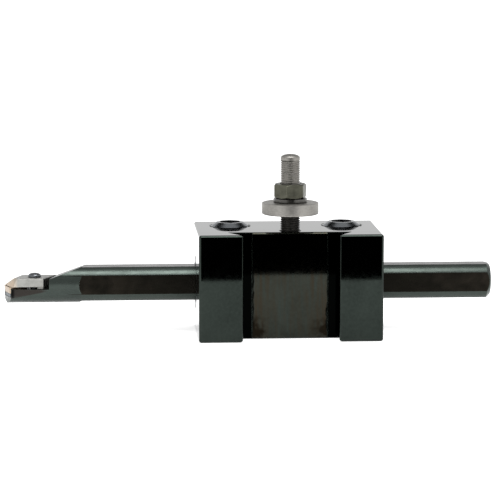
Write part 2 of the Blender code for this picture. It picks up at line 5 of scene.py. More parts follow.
import bpy
from bpy.props import FloatProperty, FloatVectorProperty, IntProperty, PointerProperty
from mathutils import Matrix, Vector


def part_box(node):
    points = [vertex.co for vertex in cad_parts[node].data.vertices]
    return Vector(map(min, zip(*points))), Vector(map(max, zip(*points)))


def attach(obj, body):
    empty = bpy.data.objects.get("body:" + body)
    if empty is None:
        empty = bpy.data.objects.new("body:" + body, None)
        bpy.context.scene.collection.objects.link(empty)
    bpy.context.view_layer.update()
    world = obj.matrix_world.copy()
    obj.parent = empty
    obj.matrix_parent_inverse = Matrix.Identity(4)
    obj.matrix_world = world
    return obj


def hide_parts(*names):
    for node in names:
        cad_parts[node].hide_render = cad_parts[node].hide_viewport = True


bl_info = {
    "name": "Boring Bar Holder",
    "version": (1, 0, 0),
    "blender": (4, 5, 0),
    "location": "View3D > Sidebar > Holder",
    "description": "Builds a dovetailed tool holder with its boring bar, screws, stud and finishes",
    "category": "Add Mesh",
}

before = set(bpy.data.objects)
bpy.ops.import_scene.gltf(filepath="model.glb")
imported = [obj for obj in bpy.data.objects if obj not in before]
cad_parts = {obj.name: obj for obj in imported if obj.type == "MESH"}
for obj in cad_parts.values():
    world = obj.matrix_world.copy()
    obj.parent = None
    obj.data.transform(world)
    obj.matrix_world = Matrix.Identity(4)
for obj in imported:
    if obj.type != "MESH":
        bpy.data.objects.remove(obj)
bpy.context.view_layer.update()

MM = 0.001
# Play between the bar and its sleeve, and the thickness of the sleeve
RUNNING_GAP = 0.3 * MM
SLEEVE_WALL = 2.575 * MM
SLEEVE_LOW, SLEEVE_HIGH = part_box("split_sleeve")
BAR_AXIS = (SLEEVE_LOW + SLEEVE_HIGH) / 2
BAR_RADIUS = (SLEEVE_HIGH.z - SLEEVE_LOW.z) / 2 - SLEEVE_WALL - RUNNING_GAP
# Radius of the hole round the stud, and half the width of a slit
STUD_BORE = 5.0625 * MM
SLIT_HALF = 0.8 * MM
# How far an envelope stands clear of the thread inside it, and how near two corners merge
CLEAR = 0.01 * MM
MERGE_WITHIN = 0.0005 * MM
# Stretches of the grain: the same all ways, or drawn out along the bar
EVEN = (1.0, 1.0, 1.0)
ALONG_BAR = (0.3, 1.0, 1.0)


# ---------------------------------------------------------------- settings


class HolderEdges(bpy.types.PropertyGroup):
    """Roundness of the machined edges."""

    block_round: FloatProperty(name="Block edge", description="Rounding of the block's edges",
                               default=0.22 * MM, min=0.0, unit="LENGTH")
    bar_round: FloatProperty(name="Bar edge", description="Rounding of the bar's edges",
                             default=0.14 * MM, min=0.0, unit="LENGTH")
    small_round: FloatProperty(name="Small edge",
                               description="Rounding of the edges of small pieces",
                               default=0.1 * MM, min=0.0, unit="LENGTH")
    round_steps: IntProperty(name="Rounding steps",
                             description="Strips of faces across a rounded edge",
                             default=2, min=1, max=6)
    turn_steps: IntProperty(name="Turning steps", description="Faces round a turned piece",
                            default=128, min=24, max=256)


class HolderThreads(bpy.types.PropertyGroup):
    """Threads of the stud and of the screws."""

    stud_pitch: FloatProperty(name="Stud pitch",
                              description="Distance between two turns of the stud's thread",
                              default=1.0583 * MM, min=0.2 * MM, unit="LENGTH")
    screw_pitch: FloatProperty(name="Screw pitch",
                               description="Distance between two turns of a set screw's thread",
                               default=1.5875 * MM, min=0.2 * MM, unit="LENGTH")
    depth_share: FloatProperty(name="Thread depth",
                               description="Depth of a thread as a share of its pitch",
                               default=0.58, min=0.1, max=0.8, subtype="FACTOR")
    socket_flats: FloatProperty(name="Set screw socket",
                                description="Width across the flats of a set screw's socket",
                                default=9.6 * MM, min=1.0 * MM, unit="LENGTH")
    socket_depth: FloatProperty(name="Socket depth", description="Depth of a set screw's socket",
                                default=8.0 * MM, min=1.0 * MM, unit="LENGTH")
    clamp_socket_flats: FloatProperty(name="Clamp screw socket",
                                      description="Width across the flats of the clamp screw's socket",
                                      default=2.5 * MM, min=0.5 * MM, unit="LENGTH")


class HolderColours(bpy.types.PropertyGroup):
    """Colours of the finishes."""

    block: FloatVectorProperty(name="Block", description="Black oxide of the block", subtype="COLOR",
                               default=(0.0195, 0.0245, 0.0215), min=0.0, max=1.0)
    block_tint: FloatVectorProperty(name="Slot tint", description="Brown tint on the slot's floor",
                                    subtype="COLOR", default=(0.022, 0.0155, 0.0090), min=0.0, max=1.0)
    bar: FloatVectorProperty(name="Bar", description="Dark steel of the bar", subtype="COLOR",
                             default=(0.041, 0.050, 0.045), min=0.0, max=1.0)
    # Colour of the bar's flats: dark scale together with a painted dark reflection
    bar_flat: FloatVectorProperty(name="Bar flats", description="Dark scale on the bar's flats",
                                  subtype="COLOR", default=(0.0048, 0.0040, 0.0031), min=0.0, max=1.0)
    milled: FloatVectorProperty(name="Milled flank", description="Milled steel beside the insert",
                                subtype="COLOR", default=(0.026, 0.022, 0.020), min=0.0, max=1.0)
    # Painted shadow: black of the gap beside the insert at the flank's tip
    gap_shadow: FloatVectorProperty(name="Hollow", description="Black of the flank's hollow at the tip",
                                subtype="COLOR", default=(0.004, 0.004, 0.004), min=0.0, max=1.0)
    dark: FloatVectorProperty(name="Dark pieces", description="Sleeve, set screws and clamp screw",
                              subtype="COLOR", default=(0.050, 0.053, 0.056), min=0.0, max=1.0)
    washer: FloatVectorProperty(name="Washer", description="Spring steel of the lock washer",
                                subtype="COLOR", default=(0.085, 0.083, 0.078), min=0.0, max=1.0)
    stud: FloatVectorProperty(name="Stud", description="Plain steel of the stud", subtype="COLOR",
                              default=(0.25, 0.24, 0.222), min=0.0, max=1.0)
    wheel: FloatVectorProperty(name="Wheel", description="Turned steel of the wheel", subtype="COLOR",
                               default=(0.265, 0.256, 0.238), min=0.0, max=1.0)
    nut: FloatVectorProperty(name="Nut", description="Olive steel of the nut", subtype="COLOR",
                             default=(0.075, 0.075, 0.058), min=0.0, max=1.0)
    clamp: FloatVectorProperty(name="Clamp", description="Silver grey of the top clamp", subtype="COLOR",
                               default=(0.27, 0.27, 0.255), min=0.0, max=1.0)
    coating: FloatVectorProperty(name="Insert", description="Coating of the insert", subtype="COLOR",
                                 default=(0.36, 0.29, 0.22), min=0.0, max=1.0)
    seat: FloatVectorProperty(name="Seat", description="Carbide of the seat under the insert",
                              subtype="COLOR", default=(0.10, 0.11, 0.12), min=0.0, max=1.0)


class HolderStage(bpy.types.PropertyGroup):
    """Floor, cards, lights and camera."""

    floor_size: FloatProperty(name="Floor", description="Side of the floor",
                              default=8.0, min=1.0, unit="LENGTH")
    card_distance: FloatProperty(name="Card distance",
                                 description="From the block's front to the dark card",
                                 default=0.150, min=0.05, unit="LENGTH")
    card_height: FloatProperty(name="Card height", description="Height of the dark card",
                               default=0.21, min=0.05, unit="LENGTH")
    card_gap: FloatProperty(name="Card gap", description="From the floor to the dark card",
                            default=0.0072, min=0.0, unit="LENGTH")
    lens: FloatProperty(name="Lens", description="Focal length of the camera in millimetres",
                        default=186.654, min=20.0)
    world_light: FloatProperty(name="Room light", description="Brightness of the white room",
                               default=1.0, min=0.0)
    top_light: FloatProperty(name="Top light", description="Power of the softbox overhead in watts",
                             default=3.6, min=0.0)


# ---------------------------------------------------------------- modelling


def start_clean():
    """Leave edit mode and deselect everything."""
    if bpy.context.mode != "OBJECT":
        bpy.ops.object.mode_set(mode="OBJECT")
    bpy.ops.object.select_all(action="DESELECT")


def focus(item):
    """Select one object and make it the active one."""
    start_clean()
    item.select_set(True)
    bpy.context.view_layer.objects.active = item


def edit_all(item):
    """Open an object in edit mode with all of it selected."""
    focus(item)
    bpy.ops.object.mode_set(mode="EDIT")
    bpy.ops.mesh.select_all(action="SELECT")


def apply_place(item):
    """Put an object's place into its mesh."""
    focus(item)
    bpy.ops.object.transform_apply(location=True, rotation=True, scale=True)


def apply_modifier(item, modifier):
    """Apply one modifier of an object."""
    focus(item)
    bpy.ops.object.modifier_apply(modifier=modifier.name)


def combine(item, tool, operation="DIFFERENCE"):
    """Cut or trim an object with a tool, which is then deleted."""
    modifier = item.modifiers.new("Cut", "BOOLEAN")
    modifier.operation = operation
    modifier.solver = "EXACT"
    modifier.object = tool
    apply_modifier(item, modifier)
    focus(tool)
    bpy.ops.object.delete()


def tidy_mesh(item):
    """Merge doubles and turn every face outwards."""
    edit_all(item)
    bpy.ops.mesh.remove_doubles(threshold=MERGE_WITHIN)
    bpy.ops.mesh.normals_make_consistent(inside=False)
    bpy.ops.object.mode_set(mode="OBJECT")


def round_edges(item, width, steps, angle=32.0):
    """Round the edges that are sharper than an angle in degrees."""
    modifier = item.modifiers.new("Edges", "BEVEL")
    modifier.width = width
    modifier.segments = steps
    modifier.limit_method = "ANGLE"
    modifier.angle_limit = math.radians(angle)
    modifier.use_clamp_overlap = False
    modifier.miter_outer = "MITER_ARC"
    apply_modifier(item, modifier)


def shade(item, angle=35.0):
    """Shade an object smooth except across sharp edges, with level flats."""
    focus(item)
    bpy.ops.object.shade_smooth_by_angle(angle=math.radians(angle))
    modifier = item.modifiers.new("Flats", "WEIGHTED_NORMAL")
    modifier.keep_sharp = True
    modifier.weight = 60
    apply_modifier(item, modifier)


def draw_line(name, points):
    """Draw an open line through (radius, height) points, one extrusion at a time."""
    start_clean()
    bpy.ops.mesh.primitive_plane_add(size=MM, location=(0.0, 0.0, 0.0))
    item = bpy.context.active_object
    item.name = name
    bpy.ops.object.mode_set(mode="EDIT")
    bpy.ops.mesh.select_all(action="SELECT")
    bpy.ops.mesh.merge(type="CENTER")
    here = (0.0, 0.0)
    for index, point in enumerate(points):
        step = (point[0] - here[0], 0.0, point[1] - here[1])
        if index:
            bpy.ops.mesh.extrude_vertices_move(TRANSFORM_OT_translate={"value": step})
        else:
            bpy.ops.transform.translate(value=step)
        here = point
    bpy.ops.mesh.select_all(action="SELECT")
    return item


def turn(name, outline, steps, ring=False):
    """Turn an outline of (radius, height) points about Z, closed on itself for a ring."""
    points = list(outline) + ([outline[0]] if ring else [])
    item = draw_line(name, points)
    if ring:
        bpy.ops.mesh.remove_doubles(threshold=MERGE_WITHIN)
    bpy.ops.mesh.spin(steps=steps, angle=math.tau, center=(0.0, 0.0, 0.0), axis=(0.0, 0.0, 1.0))
    start_clean()
    tidy_mesh(item)
    return item


def thread_rod(name, radius, pitch, depth_share, bottom, top, steps):
    """Threaded rod about Z: the section of one turn, screwed upwards and cut level at both ends."""
    root = radius - depth_share * pitch
    section = [(root, 0.0), (root, pitch * 0.12), (radius, pitch * 0.44),
               (radius, pitch * 0.56), (root, pitch * 0.88), (root, pitch)]
    spare_turns = 2
    turns = math.ceil((top - bottom) / pitch) + 2 * spare_turns
    item = draw_line(name, section)
    bpy.ops.transform.translate(value=(0.0, 0.0, bottom - spare_turns * pitch))
    start_clean()
    modifier = item.modifiers.new("Thread", "SCREW")
    modifier.axis = "Z"
    modifier.screw_offset = pitch
    modifier.iterations = turns
    modifier.steps = steps
    modifier.render_steps = steps
    apply_modifier(item, modifier)
    edit_all(item)
    bpy.ops.mesh.remove_doubles(threshold=MERGE_WITHIN)
    for height, above in ((bottom, False), (top, True)):
        bpy.ops.mesh.select_all(action="SELECT")
        bpy.ops.mesh.bisect(plane_co=(0.0, 0.0, height), plane_no=(0.0, 0.0, 1.0), use_fill=True,
                            clear_inner=not above, clear_outer=above)
    start_clean()
    tidy_mesh(item)
    return item


def hex_prism(name, flats, bottom, top):
    """Hexagonal prism about Z, with a given width across its flats."""
    start_clean()
    bpy.ops.mesh.primitive_cylinder_add(vertices=6, radius=flats / math.sqrt(3.0), depth=top - bottom,
                                        location=(0.0, 0.0, (bottom + top) / 2))
    item = bpy.context.active_object
    item.name = name
    apply_place(item)
    return item


def box_tool(name, low, high):
    """Box between two corners."""
    start_clean()
    middle = (Vector(low) + Vector(high)) / 2
    bpy.ops.mesh.primitive_cube_add(size=1.0, location=middle)
    item = bpy.context.active_object
    item.name = name
    bpy.ops.transform.resize(value=tuple(Vector(high) - Vector(low)))
    apply_place(item)
    return item


def move_to(item, location, rotation=(0.0, 0.0, 0.0)):
    """Turn and move a piece that was made about Z, and put that place into its mesh."""
    item.location = location
    item.rotation_euler = rotation
    apply_place(item)


def refined_copy(node, width, steps):
    """Copy of a CAD node: merged, its flat faces joined and its edges rounded."""
    start_clean()
    item = bpy.data.objects.new(node + "_finished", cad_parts[node].data.copy())
    bpy.context.scene.collection.objects.link(item)
    focus(item)
    bpy.ops.mesh.customdata_custom_splitnormals_clear()
    edit_all(item)
    bpy.ops.mesh.remove_doubles(threshold=0.001 * MM)
    bpy.ops.mesh.dissolve_limited(angle_limit=math.radians(0.3))
    bpy.ops.object.mode_set(mode="OBJECT")
    round_edges(item, width, steps)
    shade(item)
    return item


def hand_over(item, node, body, material):
    """Give a finished piece its material, its body and the node that it stands for."""
    item.name = node + "_finished"
    item.data.name = item.name
    item.data.materials.clear()
    item.data.materials.append(material)
    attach(item, body)
    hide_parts(node)


def node_middle(node):
    """Middle of a CAD node and its lowest and highest corners."""
    low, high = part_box(node)
    return (low + high) / 2, low, high


# ---------------------------------------------------------------- node groups


def new_group(name, inputs, outputs):
    """New shader node group with its two ends, or the one that is there already without them."""
    if name in bpy.data.node_groups:
        return bpy.data.node_groups[name], None, None
    group = bpy.data.node_groups.new(name, "ShaderNodeTree")
    for label, kind, value in inputs:
        socket = group.interface.new_socket(label, in_out="INPUT", socket_type=kind)
        if value is not None:
            socket.default_value = value
    for label, kind in outputs:
        group.interface.new_socket(label, in_out="OUTPUT", socket_type=kind)
    return group, group.nodes.new("NodeGroupInput"), group.nodes.new("NodeGroupOutput")


def math_node(tree, operation, first, second=None, clamp=False):
    """Math node whose inputs are sockets or numbers."""
    node = tree.nodes.new("ShaderNodeMath")
    node.operation = operation
    node.use_clamp = clamp
    for socket, value in zip(node.inputs, (first, second)):
        if value is None:
            continue
        if isinstance(value, (int, float)):
            socket.default_value = value
        else:
            tree.links.new(value, socket)
    return node.outputs[0]


def product(tree, first, *others):
    """Product of sockets and numbers."""
    for other in others:
        first = math_node(tree, "MULTIPLY", first, other)
    return first


def ramp(tree, value, low, high, out_low=0.0, out_high=1.0):
    """Clamped map of a value from one range to another."""
    node = tree.nodes.new("ShaderNodeMapRange")
    tree.links.new(value, node.inputs["Value"])
    node.inputs["From Min"].default_value = low
    node.inputs["From Max"].default_value = high
    node.inputs["To Min"].default_value = out_low
    node.inputs["To Max"].default_value = out_high
    return node.outputs["Result"]


def grain_group():
    """Fine grain or streaks: noise on stretched coordinates."""
    inputs = (("Vector", "NodeSocketVector", None), ("Stretch", "NodeSocketVector", EVEN),
              ("Scale", "NodeSocketFloat", 900.0), ("Detail", "NodeSocketFloat", 5.0))
    group, start, end = new_group("Metal grain", inputs, (("Value", "NodeSocketFloat"),))
    if start:
        stretch = group.nodes.new("ShaderNodeVectorMath")
        stretch.operation = "MULTIPLY"
        noise = group.nodes.new("ShaderNodeTexNoise")
        noise.inputs["Roughness"].default_value = 0.62
        links = group.links
        links.new(start.outputs["Vector"], stretch.inputs[0])
        links.new(start.outputs["Stretch"], stretch.inputs[1])
        links.new(stretch.outputs[0], noise.inputs["Vector"])
        links.new(start.outputs["Scale"], noise.inputs["Scale"])
        links.new(start.outputs["Detail"], noise.inputs["Detail"])
        links.new(ramp(group, noise.outputs["Fac"], 0.3, 0.7), end.inputs["Value"])
    return group


def wear_group():
    """Mask of the edges, broken up by grain."""
    inputs = (("Vector", "NodeSocketVector", None), ("Width", "NodeSocketFloat", 0.4 * MM),
              ("Amount", "NodeSocketFloat", 1.0))
    group, start, end = new_group("Worn edges", inputs, (("Mask", "NodeSocketFloat"),))
    if start:
        rounding = group.nodes.new("ShaderNodeBevel")
        rounding.samples = 4
        surface = group.nodes.new("ShaderNodeNewGeometry")
        compare = group.nodes.new("ShaderNodeVectorMath")
        compare.operation = "DOT_PRODUCT"
        noise = group.nodes.new("ShaderNodeTexNoise")
        noise.inputs["Scale"].default_value = 350.0
        noise.inputs["Detail"].default_value = 6.0
        links = group.links
        links.new(start.outputs["Width"], rounding.inputs["Radius"])
        links.new(rounding.outputs["Normal"], compare.inputs[0])
        links.new(surface.outputs["Normal"], compare.inputs[1])
        links.new(start.outputs["Vector"], noise.inputs["Vector"])
        edge = ramp(group, compare.outputs["Value"], 0.995, 0.90)
        broken = product(group, edge, ramp(group, noise.outputs["Fac"], 0.35, 0.62, 0.25, 1.0))
        mask = math_node(group, "MULTIPLY", broken, start.outputs["Amount"], clamp=True)
        links.new(mask, end.inputs["Mask"])
    return group


def blotch_group():
    """Broad cloudy variation of a finish."""
    inputs = (("Vector", "NodeSocketVector", None), ("Scale", "NodeSocketFloat", 60.0))
    group, start, end = new_group("Blotches", inputs, (("Value", "NodeSocketFloat"),))
    if start:
        noise = group.nodes.new("ShaderNodeTexNoise")
        noise.inputs["Detail"].default_value = 3.0
        noise.inputs["Distortion"].default_value = 0.4
        group.links.new(start.outputs["Vector"], noise.inputs["Vector"])
        group.links.new(start.outputs["Scale"], noise.inputs["Scale"])
        group.links.new(ramp(group, noise.outputs["Fac"], 0.32, 0.68), end.inputs["Value"])
    return group


def use_group(tree, group, coordinates, **values):
    """Place a node group in a material, with its own values by the names of its inputs."""
    node = tree.nodes.new("ShaderNodeGroup")
    node.node_tree = group
    tree.links.new(coordinates, node.inputs["Vector"])
    for label, value in values.items():
        node.inputs[label.capitalize()].default_value = value
    return node.outputs[0]


# ---------------------------------------------------------------- materials

# Places of the colour sockets on a Mix node
COLOUR_A, COLOUR_B, COLOUR_OUT = 6, 7, 2


def blend(tree, mask, first, second):
    """Mix two colours, each a socket or a colour, through a mask."""
    node = tree.nodes.new("ShaderNodeMix")
    node.data_type = "RGBA"
    tree.links.new(mask, node.inputs[0])
    for index, value in ((COLOUR_A, first), (COLOUR_B, second)):
        if isinstance(value, bpy.types.NodeSocket):
            tree.links.new(value, node.inputs[index])
        else:
            node.inputs[index].default_value = (*tuple(value)[:3], 1.0)
    return node.outputs[COLOUR_OUT]


def scaled(colour, share):
    """Colour made darker or lighter."""
    return tuple(min(1.0, channel * share) for channel in colour)


class Finish:
    """A metal finish in the making: its material, node tree, shader, axes and colour so far."""

    def __init__(self, name, colour):
        self.material = bpy.data.materials.new(name)
        self.material.use_nodes = True
        self.tree = self.material.node_tree
        self.shader = self.tree.nodes["Principled BSDF"]
        self.shader.inputs["Metallic"].default_value = 1.0
        self.place = self.tree.nodes.new("ShaderNodeTexCoord").outputs["Object"]
        axes = self.tree.nodes.new("ShaderNodeSeparateXYZ")
        self.tree.links.new(self.place, axes.inputs[0])
        self.axes = axes.outputs
        self.colour = colour

    def along(self, axis, low, high):
        """Mask that runs from zero at one height on an axis to one at another."""
        return ramp(self.tree, self.axes[axis], low, high)

    def grain(self, stretch=EVEN, scale=900.0, detail=5.0):
        """Mask of grain or streaks."""
        return use_group(self.tree, grain_group(), self.place,
                         stretch=stretch, scale=scale, detail=detail)

    def blotches(self, scale=60.0):
        """Mask of broad clouds."""
        return use_group(self.tree, blotch_group(), self.place, scale=scale)

    def wear(self, width, amount):
        """Mask of worn edges."""
        return use_group(self.tree, wear_group(), self.place, width=width, amount=amount)

    def paint(self, mask, colour, amount=1.0):
        """Lay a colour over what is there, through a mask."""
        if amount != 1.0:
            mask = product(self.tree, mask, amount)
        self.colour = blend(self.tree, mask, self.colour, colour)

    def shiny(self, mask, low, high):
        """Roughness that runs from low to high with a mask."""
        roughness = ramp(self.tree, mask, 0.0, 1.0, low, high)
        self.tree.links.new(roughness, self.shader.inputs["Roughness"])

    def relief(self, mask, depth):
        """Fine relief from a mask."""
        bump = self.tree.nodes.new("ShaderNodeBump")
        bump.inputs["Strength"].default_value = 0.25
        bump.inputs["Distance"].default_value = depth
        self.tree.links.new(mask, bump.inputs["Height"])
        self.tree.links.new(bump.outputs["Normal"], self.shader.inputs["Normal"])

    def done(self):
        """Connect the colour and give the material."""
        self.tree.links.new(self.colour, self.shader.inputs["Base Color"])
        return self.material


def block_finish():
    """Satin black oxide, worn at its edges, tinted on the slot's floor and with painted shade beside the
    pad.
    """
    colours = bpy.context.scene.holder_colours
    finish = Finish("black_oxide", tuple(colours.block))
    tree = finish.tree
    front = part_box("holder_block")[0].y
    finish.paint(finish.blotches(55.0), scaled(colours.block, 0.55), 0.7)
    finish.paint(finish.grain(scale=700.0), scaled(colours.block, 1.35), 0.45)
    # Upright streaks of brown inside the slot
    inside = finish.along("Y", front + 5.0 * MM, front + 9.0 * MM)
    shallow = finish.along("Y", front + 13.0 * MM, front + 12.0 * MM)
    slot = product(tree, inside, shallow)
    streaks = finish.grain((5.0, 1.0, 0.35), 120.0, 4.0)
    across = math_node(tree, "ABSOLUTE", finish.axes["X"])
    outward = ramp(tree, across, 4.0 * MM, 17.0 * MM, 0.6, 1.0)
    finish.paint(product(tree, slot, streaks, outward), tuple(colours.block_tint), 0.9)
    # Stained lower corners of the pad
    foot = finish.along("Z", 14.0 * MM, 1.0 * MM)
    corner = product(tree, foot, ramp(tree, across, 9.0 * MM, 18.0 * MM, 0.15, 1.0))
    cloud = ramp(tree, product(tree, corner, finish.blotches(260.0)), 0.05, 0.4)
    finish.paint(product(tree, slot, cloud), scaled(colours.block_tint, 0.25), 0.9)
    # Painted shade: black strips beside the pad, where the lands shade the slot's floor, with a ragged
    # edge
    ragged = product(tree, finish.grain((1.0, 1.0, 0.5), 260.0), 1.4 * MM)
    beside = ramp(tree, math_node(tree, "ADD", across, ragged), 18.3 * MM, 18.9 * MM)
    finish.paint(product(tree, slot, beside), scaled(colours.block, 0.03))
    finish.paint(finish.wear(0.5 * MM, 0.8), scaled(colours.block, 3.2))
    finish.shiny(finish.grain(scale=420.0), 0.03, 0.07)
    finish.relief(finish.grain(scale=1300.0), 0.002 * MM)
    return finish.done()


def bar_finish():
    """Dark steel with brown scale and a painted dark reflection on the long flats."""
    colours = bpy.context.scene.holder_colours
    finish = Finish("bar_steel", tuple(colours.bar))
    tree = finish.tree
    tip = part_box("boring_bar")[0].x
    finish.paint(finish.blotches(70.0), scaled(colours.bar, 0.72), 0.6)
    finish.paint(finish.grain((0.25, 1.0, 1.0), 1100.0), scaled(colours.bar, 1.3), 0.4)
    # The flats lie nearer to the axis than the round parts do
    flats = []
    for axis, centre in (("Y", BAR_AXIS.y), ("Z", BAR_AXIS.z)):
        away = math_node(tree, "ABSOLUTE", math_node(tree, "SUBTRACT", finish.axes[axis], centre))
        inner = ramp(tree, away, BAR_RADIUS - 1.32 * MM, BAR_RADIUS - 1.26 * MM)
        outer = ramp(tree, away, BAR_RADIUS - 1.16 * MM, BAR_RADIUS - 1.10 * MM, 1.0, 0.0)
        flats.append(product(tree, inner, outer))
    either = math_node(tree, "MAXIMUM", *flats)
    flat_mask = product(tree, either, finish.along("X", tip + 30.0 * MM, tip + 34.0 * MM))
    # Dark scale on the flats, together with a painted dark reflection near the block
    finish.paint(flat_mask, tuple(colours.bar_flat), 0.97)
    # Painted reflection: the flats turn lighter in patches towards both ends of the bar, away from the
    # dark reflection near the block
    far_out = ramp(tree, math_node(tree, "ABSOLUTE", finish.axes["X"]), 50.0 * MM, 112.0 * MM)
    painted_reflection = product(tree, far_out, finish.blotches(150.0), flat_mask)
    finish.paint(painted_reflection, scaled(colours.bar_flat, 4.0), 0.8)
    # The flank beside the insert is milled and darker than the round, with a painted black shadow of the
    # gap at its tip
    slope = 0.2
    rise = math_node(tree, "ADD", finish.axes["Z"], product(tree, finish.axes["X"], -slope))
    foot = BAR_AXIS.z - slope * tip
    over = ramp(tree, rise, foot - 7.4 * MM, foot - 6.8 * MM)
    flank = finish.along("Y", BAR_AXIS.y - 6.4 * MM, BAR_AXIS.y - 6.6 * MM)
    milled = product(tree, flank, over, finish.along("X", tip + 21.0 * MM, tip + 18.0 * MM))
    finish.paint(milled, tuple(colours.milled), 0.9)
    # Painted shadow in the gap between the insert and the flank, at the tip
    gap_shadow = product(tree, milled, finish.along("X", tip + 5.2 * MM, tip + 4.2 * MM))
    finish.paint(gap_shadow, tuple(colours.gap_shadow), 0.9)
    finish.paint(finish.wear(0.45 * MM, 0.7), scaled(colours.bar, 2.6))
    finish.shiny(finish.grain(ALONG_BAR, 600.0), 0.20, 0.34)
    finish.relief(finish.grain(ALONG_BAR, 1500.0), 0.003 * MM)
    return finish.done()


def clamp_finish():
    """Silver grey, with a painted cream highlight on the nose over the insert."""
    colours = bpy.context.scene.holder_colours
    colour = tuple(colours.clamp)
    finish = Finish("clamp_steel", colour)
    tree = finish.tree
    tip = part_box("top_clamp")[0].x
    finish.paint(finish.blotches(220.0), scaled(colour, 0.75), 0.6)
    finish.paint(finish.grain(scale=700.0), scaled(colour, 1.35), 0.5)
    # Painted highlight: a warm cream reflection on the nose, broken up by grain
    nose = finish.along("X", tip + 6.6 * MM, tip + 4.2 * MM)
    painted_reflection = product(tree, nose, ramp(tree, finish.grain(scale=380.0), 0.0, 1.0, 0.45, 1.0))
    finish.paint(painted_reflection, scaled(colours.coating, 1.7))
    finish.paint(finish.wear(0.4 * MM, 0.8), scaled(colour, 1.9))
    finish.shiny(finish.grain(scale=500.0), 0.32, 0.46)
    finish.relief(finish.grain(scale=900.0), 0.004 * MM)
    return finish.done()


def stud_finish():
    """Grey steel, with painted shade below the wheel."""
    colour = tuple(bpy.context.scene.holder_colours.stud)
    finish = Finish("stud_steel", colour)
    wheel_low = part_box("thumbwheel")[0].z
    finish.paint(finish.blotches(90.0), scaled(colour, 0.85), 0.5)
    finish.paint(finish.grain((1.0, 1.0, 4.0), 500.0), scaled(colour, 1.2), 0.4)
    # Painted shade: the stud turns nearly black below the wheel
    shade_below_wheel = finish.along("Z", wheel_low + 1.0 * MM, wheel_low)
    finish.paint(shade_below_wheel, scaled(colour, 0.11), 0.95)
    finish.shiny(finish.grain(scale=500.0), 0.40, 0.48)
    return finish.done()


def plain_finish(name, colour, roughness, wear, stretch=EVEN, scale=900.0, lift=2.2,
                 cloud=60.0, relief=0.003, contrast=1.0):
    """Metal with clouds, grain and worn edges; the width of the wear and the relief in millimetres."""
    finish = Finish(name, tuple(colour))
    finish.paint(finish.blotches(cloud), scaled(colour, 1.0 - 0.28 * contrast), 0.55)
    grain = finish.grain(stretch, scale)
    finish.paint(grain, scaled(colour, 1.0 + 0.3 * contrast), 0.5)
    finish.paint(finish.wear(wear * MM, 0.8), scaled(colour, lift))
    finish.shiny(finish.grain(stretch, scale * 0.7), *roughness)
    finish.relief(grain, relief * MM)
    return finish.done()


# ---------------------------------------------------------------- pieces


class HOLDER_OT_block(bpy.types.Operator):
    """Round the block's edges and blacken it"""

    bl_idname = "holder.block"
    bl_label = "Holder block"

    def execute(self, context):
        edges = context.scene.holder_edges
        block = refined_copy("holder_block", edges.block_round, edges.round_steps)
        hand_over(block, "holder_block", "holder", block_finish())
        return {"FINISHED"}


class HOLDER_OT_sleeve(bpy.types.Operator):
    """Turn and split the sleeve round the bar"""

    bl_idname = "holder.sleeve"
    bl_label = "Split sleeve"

    def execute(self, context):
        edges = context.scene.holder_edges
        middle, low, high = node_middle("split_sleeve")
        half = (high.x - low.x) / 2
        outer = (high.z - low.z) / 2
        inner = BAR_RADIUS + RUNNING_GAP
        rim = 0.4 * MM
        outline = [(inner + rim, -half), (outer - rim, -half), (outer, rim - half), (outer, half - rim),
                   (outer - rim, half), (inner + rim, half), (inner, half - rim), (inner, rim - half)]
        sleeve = turn("sleeve", outline, edges.turn_steps, ring=True)
        slit = box_tool("slit", (-SLIT_HALF, inner / 2, -half * 1.2),
                        (SLIT_HALF, outer * 1.2, half * 1.2))
        combine(sleeve, slit)
        move_to(sleeve, middle, (0.0, math.pi / 2, 0.0))
        round_edges(sleeve, edges.small_round, edges.round_steps)
        shade(sleeve)
        colour = context.scene.holder_colours.dark
        finish = plain_finish("sleeve_steel", colour, (0.22, 0.36), 0.4)
        hand_over(sleeve, "split_sleeve", "sleeve", finish)
        return {"FINISHED"}


class HOLDER_OT_set_screws(bpy.types.Operator):
    """Thread both set screws and sink their sockets"""

    bl_idname = "holder.set_screws"
    bl_label = "Set screws"

    def execute(self, context):
        threads = context.scene.holder_threads
        colour = scaled(context.scene.holder_colours.dark, 2.6)
        finish = plain_finish("screw_steel", colour, (0.16, 0.28), 0.35, lift=2.0)
        foot_chamfer, top_chamfer = 1.5 * MM, 1.9 * MM
        top_edge, top_flat, edge_drop = 6.6 * MM, 6.45 * MM, 0.08 * MM
        steps = 96
        for side in ("left", "right"):
            node = "set_screw_" + side
            middle, low, high = node_middle(node)
            radius = (high.x - low.x) / 2
            around = radius + CLEAR
            length = high.z - low.z
            screw = thread_rod(node, radius, threads.screw_pitch, threads.depth_share,
                               low.z - MM, high.z + MM, steps)
            outline = [(0.0, 0.0), (radius - foot_chamfer, 0.0), (around, foot_chamfer),
                       (around, length - top_chamfer), (top_edge, length - edge_drop),
                       (top_flat, length), (0.0, length)]
            envelope = turn("envelope", outline, steps)
            move_to(envelope, (0.0, 0.0, low.z))
            combine(screw, envelope, "INTERSECT")
            socket = hex_prism("socket", threads.socket_flats,
                               high.z - threads.socket_depth, high.z + 2 * MM)
            combine(screw, socket)
            move_to(screw, (middle.x, middle.y, 0.0))
            tidy_mesh(screw)
            shade(screw, 28.0)
            hand_over(screw, node, side + "_screw", finish)
        return {"FINISHED"}


